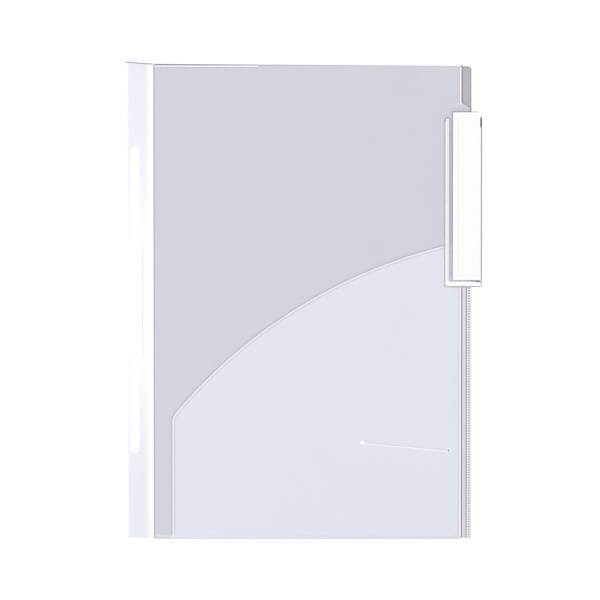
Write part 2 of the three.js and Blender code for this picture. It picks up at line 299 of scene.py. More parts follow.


# White polypropylene band, thin enough to be milky, with painted light: a painted highlight where a
# fastener leg lies close behind it, and a little bluish painted shade where nothing does, most towards
# the ends and beside the legs. Places are in metres, across from the line of the legs and along from the
# band's middle.
def milkyBand(name, light, shade, legCentre, legHalfWidth, legStart, legEnd):
    material, tree, shader, position = newFinish(name, {
        "IOR": 1.49,
        "Specular IOR Level": 0.3,
        "Alpha": perSurface(0.97),
    })
    axes = addNode(tree, "ShaderNodeSeparateXYZ", (-1000, -200), {}, {"Vector": position})
    across = addNode(tree, "ShaderNodeMath", (-800, 0), {"operation": "SUBTRACT", 1: legCentre},
                     {0: axes.outputs["X"]})
    height = addNode(tree, "ShaderNodeMath", (-800, -200), {"operation": "ABSOLUTE"}, {0: axes.outputs["Y"]})
    past = addNode(tree, "ShaderNodeMath", (-600, -200), {"operation": "SUBTRACT", 1: legEnd - legHalfWidth},
                   {0: height.outputs[0]})
    short = addNode(tree, "ShaderNodeMath", (-600, -400), {"operation": "SUBTRACT", 0: legStart},
                    {1: height.outputs[0]})
    along = addNode(tree, "ShaderNodeMath", (-400, -200), {"operation": "MAXIMUM"},
                    {0: past.outputs[0], 1: short.outputs[0]})
    beyond = addNode(tree, "ShaderNodeMath", (-200, -200), {"operation": "MAXIMUM", 1: 0.0},
                     {0: along.outputs[0]})
    flat = addNode(tree, "ShaderNodeCombineXYZ", (0, -200), {},
                   {"X": across.outputs[0], "Y": beyond.outputs[0]})
    reach = addNode(tree, "ShaderNodeVectorMath", (200, -200), {"operation": "LENGTH"}, {0: flat.outputs[0]})
    leg = addNode(tree, "ShaderNodeMapRange", (400, -200), {
        "interpolation_type": "SMOOTHSTEP",
        "From Min": legHalfWidth - 0.0007,
        "From Max": legHalfWidth + 0.0002,
        "To Min": 1.0,
        "To Max": 0.0,
    }, {"Value": reach.outputs["Value"]})
    ends = addNode(tree, "ShaderNodeMapRange", (-400, 300), {
        "interpolation_type": "SMOOTHSTEP",
        "From Min": 0.0,
        "From Max": 0.12,
        "To Min": 0.2,
        "To Max": 0.9,
    }, {"Value": height.outputs[0]})
    towardsNose = addNode(tree, "ShaderNodeMapRange", (-600, 500), {
        "interpolation_type": "SMOOTHSTEP",
        "From Min": -0.0055,
        "From Max": -0.0033,
    }, {"Value": across.outputs[0]})
    towardsLip = addNode(tree, "ShaderNodeMapRange", (-600, 700), {
        "interpolation_type": "SMOOTHSTEP",
        "From Min": 0.0055,
        "From Max": 0.0115,
        "To Min": 1.0,
        "To Max": 0.0,
    }, {"Value": across.outputs[0]})
    sides = addNode(tree, "ShaderNodeMath", (-400, 600), {"operation": "MULTIPLY"},
                    {0: towardsNose.outputs["Result"], 1: towardsLip.outputs["Result"]})
    paintedShade = addNode(tree, "ShaderNodeMath", (-200, 400), {"operation": "MULTIPLY"},
                   {0: ends.outputs["Result"], 1: sides.outputs[0]})
    base = addNode(tree, "ShaderNodeMix", (0, 300), {
        "data_type": "RGBA", 6: linear(light), 7: linear(shade),
    }, {0: paintedShade.outputs[0]})
    colour = addNode(tree, "ShaderNodeMix", (500, 200), {"data_type": "RGBA", 7: linear(light)},
                     {0: leg.outputs["Result"], 6: base.outputs[2]})
    grain = addNode(tree, "ShaderNodeTexNoise", (-700, 600), {"Scale": 900.0, "Detail": 2.0},
                    {"Vector": position})
    rough = addNode(tree, "ShaderNodeMapRange", (-300, 600), {"To Min": 0.3, "To Max": 0.42},
                    {"Value": grain.outputs["Fac"]})
    bump = addNode(tree, "ShaderNodeBump", (500, -500), {"Strength": 0.5, "Distance": 0.0002},
                   {"Height": leg.outputs["Result"]})
    tree.links.new(colour.outputs[2], shader.inputs["Base Color"])
    tree.links.new(rough.outputs["Result"], shader.inputs["Roughness"])
    tree.links.new(bump.outputs["Normal"], shader.inputs["Normal"])
    return material


# Injection-moulded white polypropylene: smooth, satin, with faint flow marks along the strip
def mouldedWhite(name, light, dark):
    material, tree, shader, position = newFinish(name, {"IOR": 1.49, "Specular IOR Level": 0.35})
    stretch = addNode(tree, "ShaderNodeMapping", (-900, 0), {"Scale": (1.0, 0.08, 1.0)},
                      {"Vector": position})
    flow = addNode(tree, "ShaderNodeTexNoise", (-700, 0), {"Scale": 420.0, "Detail": 2.0},
                   {"Vector": stretch.outputs[0]})
    colour = addNode(tree, "ShaderNodeMix", (100, 200), {
        "data_type": "RGBA", 6: linear(light), 7: linear(dark),
    }, {0: flow.outputs["Fac"]})
    rough = addNode(tree, "ShaderNodeMapRange", (-300, -100), {"To Min": 0.28, "To Max": 0.4},
                    {"Value": flow.outputs["Fac"]})
    tree.links.new(colour.outputs[2], shader.inputs["Base Color"])
    tree.links.new(rough.outputs["Result"], shader.inputs["Roughness"])
    return material


# Uncoated white card: matt, with a trace of fibre
def whiteBoard(name, light, dark):
    material, tree, shader, position = newFinish(name, {
        "IOR": 1.45,
        "Specular IOR Level": 0.1,
        "Roughness": 0.85,
    })
    fibre = addNode(tree, "ShaderNodeTexNoise", (-700, 0), {"Scale": 1400.0, "Detail": 4.0},
                    {"Vector": position})
    colour = addNode(tree, "ShaderNodeMix", (100, 200), {
        "data_type": "RGBA", 6: linear(light), 7: linear(dark),
    }, {0: fibre.outputs["Fac"]})
    bump = addNode(tree, "ShaderNodeBump", (200, -200), {"Strength": 0.2, "Distance": 0.00002},
                   {"Height": fibre.outputs["Fac"]})
    tree.links.new(colour.outputs[2], shader.inputs["Base Color"])
    tree.links.new(bump.outputs["Normal"], shader.inputs["Normal"])
    return material


fastener = {
    "inset": 12.4,
    "barWidth": 10,
    "barLength": 74.5,
    "barThickness": 1,
    "barRim": 1.1,
    "barStep": 0.5,
    "barDish": 0.12,
    "barRound": 0.3,
    "legWidth": 6.2,
    "legStart": 42,
    "legEnd": 99.5,
    "legThickness": 0.8,
    "holePitch": 80,
    "slotLength": 5.8,
    "slotClearance": 0.4,
    "slotCut": (-2, 1),
    "seatGap": 0.25,
    "tongueInset": 1,
    "tongueSkin": (0.05, 0.2),
    "tipFlat": 0.05,
}

clearCover = calenderedSheet("hazy_clear_polypropylene", "#e6ebf5", "#e2e8f3", 0.51, 0.00002)
frostedBack = calenderedSheet("frosted_grey_polypropylene", "#c6c4ce", "#c2c0ca", 0.9, 0.00002)
pocketFilm = calenderedSheet("hazy_pocket_polypropylene", "#f2f0fb", "#eeecf8", 0.93, 0.00002)
holderFilm = calenderedSheet("clear_pvc_film", "#f4f4fb", "#eeeef6", 0.14, 0.00001)
# Painted edge lines: dark ones are painted shade, white ones painted highlights, glowing ones painted glow
darkCut = paintedEdgeTone("cut_edge_in_shade", "#8c8894", "#7f7b88", 0.85)
softCut = paintedEdgeTone("pressed_edge_in_shade", "#b9b9c6", "#aeaebb", 0.5)
brightCut = paintedEdgeTone("cut_edge_catching_light", "#ffffff", "#fcfcff", 0.995)
foreLip = paintedEdgeTone("fore_edge_catching_light", "#ffffff", "#f8f8fd", 0.94)
gapShade = paintedEdgeTone("painted_shade_beside_the_card", "#a8a4ae", "#a29ea8", 0.4)
headLip = paintedEdgeTone("head_edge_catching_light", "#f4f4fb", "#eeeef7", 0.9)
slitGlow = paintedEdgeTone("slit_edge_painted_glow", "#ffffff", "#fcfcff", 0.995, 0.09)
holeGlow = paintedEdgeTone("hole_edge_painted_glow", "#ffffff", "#fcfcff", 0.995, 0.3)
holeShade = paintedEdgeTone("hole_in_deep_shade", "#1c1a20", "#18161c", 0.998)
footShade = paintedEdgeTone("foot_strip_deeper_painted_shade", "#d0d1dc", "#cccdd8", 0.9)
lipShade = paintedEdgeTone("shade_beside_the_edge", "#c6c6d0", "#c0c0cb", 0.6)
weldShade = paintedEdgeTone("weld_strip_painted_shade", "#aeaeb8", "#a7a7b1", 0.95)
creaseShade = paintedEdgeTone("hinge_crease_in_shade", "#adadb9", "#a4a4b0", 0.95)
footStripShade = paintedEdgeTone("foot_strip_painted_shade", "#dddee9", "#dadbe6", 0.9)
footLine = paintedEdgeTone("foot_edge_in_shade", "#b4b4c0", "#acacb9", 0.9)
deepCut = paintedEdgeTone("fore_edge_in_shade", "#625e6c", "#575361", 0.95)
weldWhiteAndHighlight = paintedEdgeTone("welded_film_white_and_painted_highlight", "#ffffff", "#fafafd", 0.985)
foldPaintedShade = paintedEdgeTone("folded_film_painted_shade", "#322b31", "#2a232a", 0.985)
bandWhite = milkyBand("milky_white_polypropylene", "#fefefe", "#e5e8f0",
                      frontHinge.x - fastener["inset"] * mm, fastener["legWidth"] / 2 * mm,
                      fastener["legStart"] * mm, fastener["legEnd"] * mm)
fastenerWhite = mouldedWhite("moulded_white_polypropylene", "#fefefe", "#fafafb")
cardWhite = whiteBoard("white_card", "#fefefe", "#fbfbfb")
cardLine = whiteBoard("grey_printed_line", "#efefec", "#ebebe7")
print("materials ready")


# Front cover: one sheet with the index tab on its fore edge
frontEdge = {
    "tabReach": 5.4,
    "tabHead": 128.5,
    "tabFoot": 10.5,
    "tabShoulder": 2.8,
    "tabMargin": 0.3,
    "cutLine": 0.45,
    "foreLine": 0.62,
    "brightLip": 1.3,
    "lipShade": 0.35,
    "arcMerge": 0.3,
    "lipReach": 66,
    "bareReach": 10.4,
    "crease": 0.4,
}


def makeFrontCover():
    size = frontEdge
    edgeX = covers["frontWidth"]
    head = covers["frontHead"]
    foot = covers["foot"]
    tabMiddle = (size["tabHead"] + size["tabFoot"]) / 2
    halfTab = (size["tabHead"] - size["tabFoot"]) / 2
    piece = startSheet("front_cover_sheet", -spare / 2, edgeX, foot, head, 0)
    giveFinishes(piece, [clearCover, darkCut, foreLip, softCut, creaseShade, footStripShade, footLine, deepCut,
                         headLip, footShade])
    cutAlong((0, size["tabFoot"], 0), (0, 1, 0))
    cutAlong((0, size["tabHead"], 0), (0, 1, 0))
    pick(piece, "EDGE", lambda at: near(at.x, edgeX) and abs(at.y - tabMiddle) < halfTab + slack)
    bpy.ops.mesh.extrude_region_move(TRANSFORM_OT_translate={"value": (size["tabReach"], 0, 0)})
    bpy.ops.transform.resize(
        value=(1, 1 - size["tabShoulder"] / halfTab, 1),
        center_override=(edgeX + size["tabReach"], tabMiddle, 0),
    )
    bpy.ops.mesh.select_all(action="SELECT")
    bpy.ops.mesh.dissolve_limited(angle_limit=0.01)
    pick(piece, "VERT", lambda at: near(at.x, edgeX) and abs(at.y - tabMiddle) > halfTab + slack)
    bpy.ops.mesh.bevel(offset=covers["frontCorner"], affect="VERTICES", segments=5)
    # Round the outline: a painted shade line, a painted highlight lip and another line of painted shade
    rings = [(darkCut, size["cutLine"]), (foreLip, size["brightLip"]), (creaseShade, size["lipShade"])]
    drawRings(piece, rings, clearCover, merge=size["arcMerge"])
    cutAlong((-covers["hingeRound"], 0, 0), (-1, 0, 0), clear=True)

    # The painted highlight lip is plain at the fore edge; at the head it fades out away from the spine
    ringWidth = sum(width for finish, width in rings)
    lineFoot = head - size["cutLine"]
    lipFoot = lineFoot - size["brightLip"]
    ringFoot = head - ringWidth
    fadeX = size["lipReach"]
    cutAlong((fadeX, 0, 0), (1, 0, 0))
    paintWhere(piece, softCut, lambda at: between(at.y, ringFoot, lipFoot))
    paintWhere(piece, clearCover, lambda at: at.x > fadeX - slack and between(at.y, ringFoot, lineFoot))
    paintWhere(piece, softCut, lambda at: at.x > fadeX - slack and at.y > lineFoot - slack)
    paintWhere(piece, headLip, lambda at: at.x < fadeX + slack and between(at.y, lipFoot, lineFoot))

    # The foot has a strip of painted shade instead, darker where no pocket lies behind it
    lineHead = foot + size["cutLine"]
    hazeHead = foot + ringWidth
    bareX = size["bareReach"]
    paintWhere(piece, footStripShade, lambda at: at.y < hazeHead + slack)
    paintWhere(piece, footLine, lambda at: at.y < lineHead + slack)
    cutAlong((bareX, 0, 0), (1, 0, 0))
    paintWhere(piece, footShade, lambda at: at.x < bareX + slack and between(at.y, lineHead, hazeHead))

    # The fore edge gets the darkest painted shade, and the tab is clear but for painted shade at its sloping
    # ends
    for x in (edgeX, edgeX - size["foreLine"]):
        cutAlong((x, 0, 0), (1, 0, 0))
    paintWhere(piece, deepCut, lambda at: between(at.x, edgeX - size["foreLine"], edgeX))
    tabSpan = halfTab + size["tabMargin"]
    paintWhere(piece, clearCover,
               lambda at: at.x > edgeX - ringWidth - slack and abs(at.y - tabMiddle) < tabSpan)
    slopeStart = halfTab - size["tabShoulder"] - size["cutLine"]
    paintWhere(piece, darkCut, lambda at: at.x > edgeX - slack and abs(at.y - tabMiddle) > slopeStart)
    # A line of painted shade along the hinge crease
    cutAlong((size["crease"], 0, 0), (1, 0, 0))
    paintWhere(piece, creaseShade, lambda at: at.x < size["crease"] + slack)

    applyModifier(piece, "SOLIDIFY", {"thickness": covers["sheet"], "offset": 0})
    makeActive(piece)
    bpy.ops.object.mode_set(mode="EDIT")
    pick(piece, "EDGE", lambda at: near(at.x, -covers["hingeRound"]))
    bpy.ops.mesh.bevel(offset=covers["hingeBevel"], segments=4)
    outwardFaces(piece)
    setInFrame(piece, onFront, "front_leaf", "front_cover", passesLight=True)


makeFrontCover()

# Back cover: the plate, and the pocket that folds up from its foot
pocket = {
    "sheet": 0.4,
    "gap": 0.3,
    "inset": 10.4,
    "sideHeight": 77.4,
    "foreHeight": 194.8,
    "corner": 3,
    "radius": 331,
    "arcPoints": 360,
    "weld": 3.05,
    "weldLine": 0.55,
    "weldStrip": (1.65, 0.4),
    "weldSink": 0.25,
    "cutLine": 0.6,
    "brightLip": 0.9,
    "lipShade": 0.7,
    "beadPitch": 1.69,
    "beadInset": 1.02,
    "beadStart": 1.6,
    "beadMargin": 4,
    "bead": (1.25, 0.845, 0.16),
}

slit = {
    "start": (132.6, -93.1),
    "end": (188, -97.8),
    "width": 0.15,
    "startHole": 1.3,
    "endHole": 0.8,
    "lip": 0.9,
    "shade": 0.3,
    "lipRise": 0.05,
    "lipRound": 0.03,
    "lipSetback": 1.1,
    "ringRise": 0.08,
    "startRings": ((0.8, 0.55, "glowing"), (1.7, 0.22, "shade")),
    "endRings": ((1.15, 0.35, "bright"),),
}

slitStart = Vector(slit["start"])
slitEnd = Vector(slit["end"])
slitRun = slitEnd - slitStart


def pocketCentre():
    start = Vector((pocket["inset"], covers["foot"] + pocket["sideHeight"]))
    end = Vector((covers["backWidth"], covers["foot"] + pocket["foreHeight"]))
    chord = end - start
    rise = math.sqrt(pocket["radius"] ** 2 - chord.length_squared / 4)
    return (start + end) / 2 + Vector((chord.y, -chord.x)).normalized() * rise


def makePlate(turnY):
    head = covers["backHead"]
    piece = startSheet("back_cover_sheet", -spare, covers["backWidth"], covers["foot"] - spare, head, 0)
    giveFinishes(piece, [frostedBack, darkCut])
    pick(piece, "VERT", lambda at: at.x > 0 and at.y > 0)
    bpy.ops.mesh.bevel(offset=covers["backCorner"], affect="VERTICES", segments=5)
    # A line of painted shade round the edge
    drawRings(piece, [(darkCut, frontEdge["cutLine"])], frostedBack)
    cutAlong((-covers["hingeRound"], 0, 0), (-1, 0, 0), clear=True)
    cutAlong((0, covers["foot"], 0), (0, -1, 0), clear=True)
    cutAlong((pocket["inset"], 0, 0), (1, 0, 0))
    cutAlong((0, turnY, 0), (0, 1, 0))
    # Along the weld the plate has no painted edge line of its own, and where the fold is it stops short
    pocketHead = covers["foot"] + pocket["foreHeight"]
    cutAlong((0, pocketHead, 0), (0, 1, 0))
    paintWhere(piece, frostedBack, lambda at: at.x > pocket["inset"] and at.y < pocketHead + slack)
    pick(piece, "FACE", lambda at: at.x > pocket["inset"] - slack and at.y < turnY + slack)
    bpy.ops.mesh.delete(type="FACE")
    applyModifier(piece, "SOLIDIFY", {"thickness": covers["sheet"], "offset": 0})
    return piece


# Short knurl beads in a row along a weld, in the weld's white with its painted highlight
def beadRow(name, start, step, count, size):
    low = Vector(start) - Vector(size) / 2
    high = Vector(start) + Vector(size) / 2
    first = startBlock(name, low.x, high.x, low.y, high.y, low.z, high.z)
    giveFinishes(first, [weldWhiteAndHighlight])
    pick(first, "FACE", lambda at: at.z > start[2])
    bpy.ops.mesh.inset(thickness=min(size) * 0.3, depth=0)
    bpy.ops.object.mode_set(mode="OBJECT")
    beads = [first]
    for i in range(1, count):
        bead = first.copy()
        bead.data = first.data.copy()
        bead.data.transform(Matrix.Translation(Vector(step) * i))
        bpy.context.scene.collection.objects.link(bead)
        beads.append(bead)
    return joinPieces(beads)


# The slit's own direction, from a place beside its middle
def alongSlit(sideways, z):
    side = Vector((-slitRun.y, slitRun.x)).normalized()
    middle = (slitStart + slitEnd) / 2 + side * sideways
    turn = Matrix.Rotation(math.atan2(slitRun.y, slitRun.x), 4, "Z")
    return Matrix.Translation((middle.x, middle.y, z)) @ turn


def slitCutters(z, deep):
    cutters = []
    for place, radius in ((slitStart, slit["startHole"]), (slitEnd, slit["endHole"])):
        clearSelection()
        bpy.ops.mesh.primitive_cylinder_add(
            vertices=32, radius=radius, depth=deep, location=(place.x, place.y, z)
        )
        cutters.append(bpy.context.object)
    halfRun = slitRun.length / 2
    halfWidth = slit["width"] / 2
    blade = startBlock("slit_blade", -halfRun, halfRun, -halfWidth, halfWidth, -deep / 2, deep / 2)
    bpy.ops.object.mode_set(mode="OBJECT")
    blade.matrix_world = alongSlit(0, z)
    cutters.append(blade)
    return cutters


# The cut lips stand a trace proud: the lower one has a painted highlight with a little painted glow, and
# the upper one painted shade. Round the holes they are rings of painted glow and painted shade, and a dark
# disc of painted shade lies on the plate behind the end hole.
def slitLips(z):
    tones = {"bright": slitGlow, "glowing": holeGlow, "shade": softCut}
    lips = []
    for place, rings in ((slitStart, slit["startRings"]), (slitEnd, slit["endRings"])):
        for radius, thickness, tone in rings:
            clearSelection()
            bpy.ops.mesh.primitive_torus_add(
                location=(place.x, place.y, z), major_radius=radius, minor_radius=thickness,
                major_segments=32, minor_segments=8,
            )
            ring = bpy.context.object
            ring.scale = (1, 1, slit["ringRise"] / thickness)
            giveFinishes(ring, [tones[tone]])
            lips.append(ring)
    halfLip = slitRun.length / 2 - slit["lipSetback"]
    rise = slit["lipRise"]
    for width, turn, tone in ((slit["lip"], -1, "bright"), (slit["shade"], 1, "shade")):
        lip = startBlock("slit_lip", -halfLip, halfLip, -width / 2, width / 2, -rise, rise)
        bpy.ops.mesh.select_all(action="SELECT")
        bpy.ops.mesh.bevel(offset=slit["lipRound"], segments=1)
        bpy.ops.object.mode_set(mode="OBJECT")
        lip.matrix_world = alongSlit(turn * (slit["width"] + width) / 2, z)
        giveFinishes(lip, [tones[tone]])
        lips.append(lip)
    clearSelection()
    bpy.ops.mesh.primitive_circle_add(
        vertices=24, radius=slit["endHole"], fill_type="NGON",
        location=(slitEnd.x, slitEnd.y, z - pocket["sheet"]),
    )
    lips.append(bpy.context.object)
    giveFinishes(lips[-1], [holeShade])
    for lip in lips:
        makeActive(lip)
        bpy.ops.object.transform_apply(location=True, rotation=True, scale=True)
    return lips


def makePocket(turnY):
    size = pocket
    midZ = covers["sheet"] / 2 + size["gap"] + size["sheet"] / 2
    centre = pocketCentre()
    foot = covers["foot"]
    edgeX = covers["backWidth"]
    weldX = edgeX - size["weld"]
    clearSelection()
    cornerAngle = math.atan2(foot + size["sideHeight"] - centre.y, size["inset"] - centre.x)
    bpy.ops.mesh.primitive_circle_add(
        vertices=size["arcPoints"], radius=size["radius"], fill_type="NGON",
        location=(centre.x, centre.y, midZ), rotation=(0, 0, cornerAngle),
    )
    piece = bpy.context.object
    piece.name = piece.data.name = "pocket_sheet"
    bpy.ops.object.transform_apply(location=True, rotation=True, scale=True)
    giveFinishes(piece, [pocketFilm, darkCut, brightCut, weldWhiteAndHighlight, lipShade, weldShade])
    bpy.ops.object.mode_set(mode="EDIT")
    cutAlong((size["inset"], 0, 0), (-1, 0, 0), clear=True)
    cutAlong((edgeX + spare, 0, 0), (1, 0, 0), clear=True)
    cutAlong((0, foot - spare, 0), (0, -1, 0), clear=True)
    pick(piece, "VERT", lambda at: near(at.x, size["inset"]) and at.y > foot)
    bpy.ops.mesh.bevel(offset=size["corner"], affect="VERTICES", segments=6)
    # The rounded corner ends close beside a point of the arc, and the two become one
    bpy.ops.mesh.select_mode(type="FACE")
    bpy.ops.mesh.select_all(action="SELECT")
    bpy.ops.mesh.remove_doubles(threshold=0.05)
    # Round the outline: a painted shade line, a painted highlight lip and a line of painted shade
    rings = [(darkCut, size["cutLine"]), (brightCut, size["brightLip"]), (lipShade, size["lipShade"])]
    drawRings(piece, rings, pocketFilm)
    cutAlong((edgeX, 0, 0), (1, 0, 0), clear=True)
    cutAlong((0, turnY, 0), (0, -1, 0), clear=True)

    # The weld along the fore edge: pressed down on the plate, with a painted shade line on its spine side,
    # then white with a painted highlight, a strip of painted shade and a white rim
    stripStart, stripEnd = [edgeX - depth for depth in size["weldStrip"]]
    pressedX = weldX + size["weldLine"]
    for x in (weldX, pressedX, stripStart, stripEnd):
        cutAlong((x, 0, 0), (1, 0, 0))
    paintWhere(piece, darkCut, lambda at: at.x > weldX - slack)
    paintWhere(piece, weldWhiteAndHighlight, lambda at: at.x > pressedX - slack)
    paintWhere(piece, weldShade, lambda at: between(at.x, stripStart, stripEnd))
    pick(piece, "VERT", lambda at: at.x > pressedX - slack)
    bpy.ops.transform.translate(value=(0, 0, -size["weldSink"]))

    # The foot folds under, flush with the plate's outer face, and becomes the plate
    flushZ = (size["sheet"] - covers["sheet"]) / 2
    pick(piece, "EDGE", lambda at: near(at.y, turnY))
    bpy.ops.mesh.spin(steps=8, angle=-math.pi, center=(0, turnY, (midZ + flushZ) / 2), axis=(1, 0, 0))
    applyModifier(piece, "SOLIDIFY", {"thickness": size["sheet"], "offset": 0})
    cutWith(piece, slitCutters(midZ, 2 * size["sheet"]))
    return piece, midZ


def makeBackCover():
    turnY = covers["foot"] + (covers["sheet"] + pocket["gap"] + pocket["sheet"]) / 2
    plate = makePlate(turnY)
    outwardFaces(plate)
    sheet, midZ = makePocket(turnY)
    outwardFaces(sheet)
    count = int((pocket["foreHeight"] - pocket["beadMargin"]) / pocket["beadPitch"])
    firstBead = (
        covers["backWidth"] - pocket["beadInset"],
        covers["foot"] + pocket["beadStart"],
        midZ - pocket["weldSink"] + pocket["sheet"] / 2,
    )
    beads = beadRow("weld_beads", firstBead, (0, pocket["beadPitch"], 0), count, pocket["bead"])
    lips = slitLips(midZ + pocket["sheet"] / 2)
    piece = joinPieces([plate, sheet, beads, *lips])
    setInFrame(piece, onBack, "back_leaf", "back_cover")


makeBackCover()

# Spine band: flange, round nose, flange
band = {
    "length": 310,
    "reach": 23.2,
    "noseRadius": 5,
    "wall": 0.8,
    "lipX": -0.6,
    "frontLip": 11.55,
    "backLip": 0.75,
    "endLine": 1.3,
    "endShade": 0.7,
    "endSlant": 0.05,
    "edgeRound": 0.12,
}

noseCentre = Vector((band["noseRadius"] - band["reach"], band["noseRadius"]))


def tangentAngle(lipZ, side):
    toLip = Vector((band["lipX"], lipZ)) - noseCentre
    return math.atan2(toLip.y, toLip.x) + side * math.acos(band["noseRadius"] / toLip.length)


frontAngle = tangentAngle(band["frontLip"], 1)
backAngle = tangentAngle(band["backLip"], -1) + 2 * math.pi
frontSlope = frontAngle - math.pi / 2
flangeRun = (fastener["inset"] + band["lipX"]) / math.cos(frontSlope)
onFlange = Matrix.Translation((
    band["lipX"] - flangeRun * math.cos(frontSlope), 0, band["frontLip"] - flangeRun * math.sin(frontSlope),
)) @ Matrix.Rotation(-frontSlope, 4, "Y")


def slotCutters():
    cutters = []
    halfWidth = fastener["legWidth"] / 2 + fastener["slotClearance"]
    halfLength = fastener["slotLength"] / 2
    for side in (-1, 1):
        middle = side * fastener["holePitch"] / 2
        cutter = startBlock("slot_cutter", -halfWidth, halfWidth, middle - halfLength, middle + halfLength,
                            *fastener["slotCut"])
        bpy.ops.mesh.select_mode(type="EDGE")
        mesh = bmesh.from_edit_mesh(cutter.data)
        for edge in mesh.edges:
            first, second = edge.verts[0].co, edge.verts[1].co
            edge.select_set(near(first.x, second.x) and near(first.y, second.y))
        bmesh.update_edit_mesh(cutter.data)
        bpy.ops.mesh.bevel(offset=fastener["slotClearance"], segments=4)
        bpy.ops.object.mode_set(mode="OBJECT")
        cutter.matrix_world = onFlange
        cutters.append(cutter)
    return cutters


def makeBand():
    half = band["length"] / 2
    lipEdge = Vector((band["lipX"], 0, band["frontLip"]))
    noseEdge = Vector((
        noseCentre.x + band["noseRadius"] * math.cos(frontAngle), 0,
        noseCentre.y + band["noseRadius"] * math.sin(frontAngle),
    ))
    width = (lipEdge - noseEdge).length
    piece = startSheet("spine_band_shell", -width / 2, width / 2, -half, half, 0)
    giveFinishes(piece, [bandWhite, darkCut, weldWhiteAndHighlight])
    bpy.ops.object.mode_set(mode="OBJECT")
    piece.matrix_world = Matrix.Translation((lipEdge + noseEdge) / 2) @ Matrix.Rotation(-frontSlope, 4, "Y")
    bpy.ops.object.transform_apply(location=True, rotation=True, scale=True)
    bpy.ops.object.mode_set(mode="EDIT")
    pick(piece, "EDGE", lambda at: near(at.x, noseEdge.x))
    bpy.ops.mesh.spin(
        steps=28, angle=backAngle - frontAngle, center=(noseCentre.x, 0, noseCentre.y), axis=(0, 1, 0)
    )
    backEdge = Vector((
        noseCentre.x + band["noseRadius"] * math.cos(backAngle), 0,
        noseCentre.y + band["noseRadius"] * math.sin(backAngle),
    ))
    run = Vector((band["lipX"], 0, band["backLip"])) - backEdge
    bpy.ops.mesh.extrude_region_move(TRANSFORM_OT_translate={"value": run})
    bpy.ops.mesh.select_all(action="SELECT")
    bpy.ops.mesh.remove_doubles(threshold=0.001)
    bpy.ops.mesh.normals_make_consistent(inside=False)
    mesh = bmesh.from_edit_mesh(piece.data)
    top = max(mesh.faces, key=lambda face: face.calc_center_median().z)
    if top.normal.z < 0:
        bpy.ops.mesh.flip_normals()
    # At the head end a line of painted shade runs a little down towards the cover,
    # and beyond it the band is painted white
    slant = Vector((band["endSlant"], 1, 0)).normalized()
    lineHigh = half - band["endLine"]
    lineLow = lineHigh - band["endShade"]
    for place in (lineLow, lineHigh):
        cutAlong((0, place, 0), slant)

    def height(at):
        return at.y + at.x * band["endSlant"]

    def onTop(at):
        return at.z > band["noseRadius"] and at.x > noseEdge.x - slack

    paintWhere(piece, darkCut, lambda at: onTop(at) and between(height(at), lineLow, lineHigh))
    paintWhere(piece, weldWhiteAndHighlight, lambda at: height(at) > lineHigh - slack)
    applyModifier(piece, "SOLIDIFY", {"thickness": band["wall"], "offset": -1, "use_even_offset": True})
    cutWith(piece, slotCutters())
    bevel = {"width": band["edgeRound"], "segments": 2, "angle_limit": math.radians(50)}
    applyModifier(piece, "BEVEL", bevel)
    setInFrame(piece, onFloor, "spine", "spine_band", passesLight=True)


makeBand()


# Fastener: a bar outside the band, and a leg through each slot and on along the inside
def makeFastener():
    size = fastener
    barEnd = size["barLength"] / 2
    barTop = size["seatGap"] + size["barThickness"]
    legTop = -band["wall"] - size["seatGap"]
    rampEnd = size["holePitch"] - barEnd
    halfLeg = size["legWidth"] / 2

    bar = startBlock("fastener_strip_moulding", -size["barWidth"] / 2, size["barWidth"] / 2, -barEnd, barEnd,
                     size["seatGap"], barTop)
    giveFinishes(bar, [fastenerWhite])
    pick(bar, "FACE", lambda at: near(at.z, barTop))
    bpy.ops.mesh.inset(thickness=size["barRim"], depth=0)
    bpy.ops.mesh.inset(thickness=size["barStep"], depth=-size["barDish"])
    bpy.ops.object.mode_set(mode="OBJECT")
    bevel = {"width": size["barRound"], "segments": 3, "angle_limit": math.radians(50)}
    applyModifier(bar, "BEVEL", bevel)

    tongueEnd = barEnd - size["tongueInset"]
    skinUnder, skinOver = size["tongueSkin"]
    tongueLow = size["seatGap"] + skinUnder
    tongueTop = barTop - skinOver
    drop = legTop - size["legThickness"] / 2 - (tongueLow + tongueTop) / 2
    tongue = startBlock("fastener_tongue", -halfLeg, halfLeg, -tongueEnd, tongueEnd, tongueLow, tongueTop)
    giveFinishes(tongue, [fastenerWhite])
    for side in (-1, 1):
        pick(tongue, "FACE", lambda at: near(at.y, side * tongueEnd))
        bpy.ops.mesh.extrude_region_move(
            TRANSFORM_OT_translate={"value": (0, side * size["tongueInset"], 0)}
        )
        bpy.ops.mesh.extrude_region_move(
            TRANSFORM_OT_translate={"value": (0, side * (rampEnd - barEnd), drop)}
        )
        bpy.ops.mesh.extrude_region_move(
            TRANSFORM_OT_translate={"value": (0, side * (size["legEnd"] - rampEnd), 0)}
        )
    mesh = bmesh.from_edit_mesh(tongue.data)
    bpy.ops.mesh.select_mode(type="EDGE")
    bpy.ops.mesh.select_all(action="DESELECT")
    for edge in mesh.edges:
        first, second = edge.verts[0].co, edge.verts[1].co
        atTip = near(abs(first.y), size["legEnd"]) and near(abs(second.y), size["legEnd"])
        edge.select_set(atTip and near(first.x, second.x))
    bmesh.update_edit_mesh(tongue.data)
    bpy.ops.mesh.bevel(offset=halfLeg - size["tipFlat"], segments=8)
    bpy.ops.object.mode_set(mode="OBJECT")
    applyModifier(bar, "BOOLEAN", {"operation": "UNION", "solver": "EXACT", "object": tongue})
    bpy.data.objects.remove(tongue)
    outwardFaces(bar)
    bar.visible_shadow = False  # the band is milky, and lets no leg's shade through
    setInFrame(bar, onFloor @ onFlange, "spine", "fastener_strip")


makeFastener()

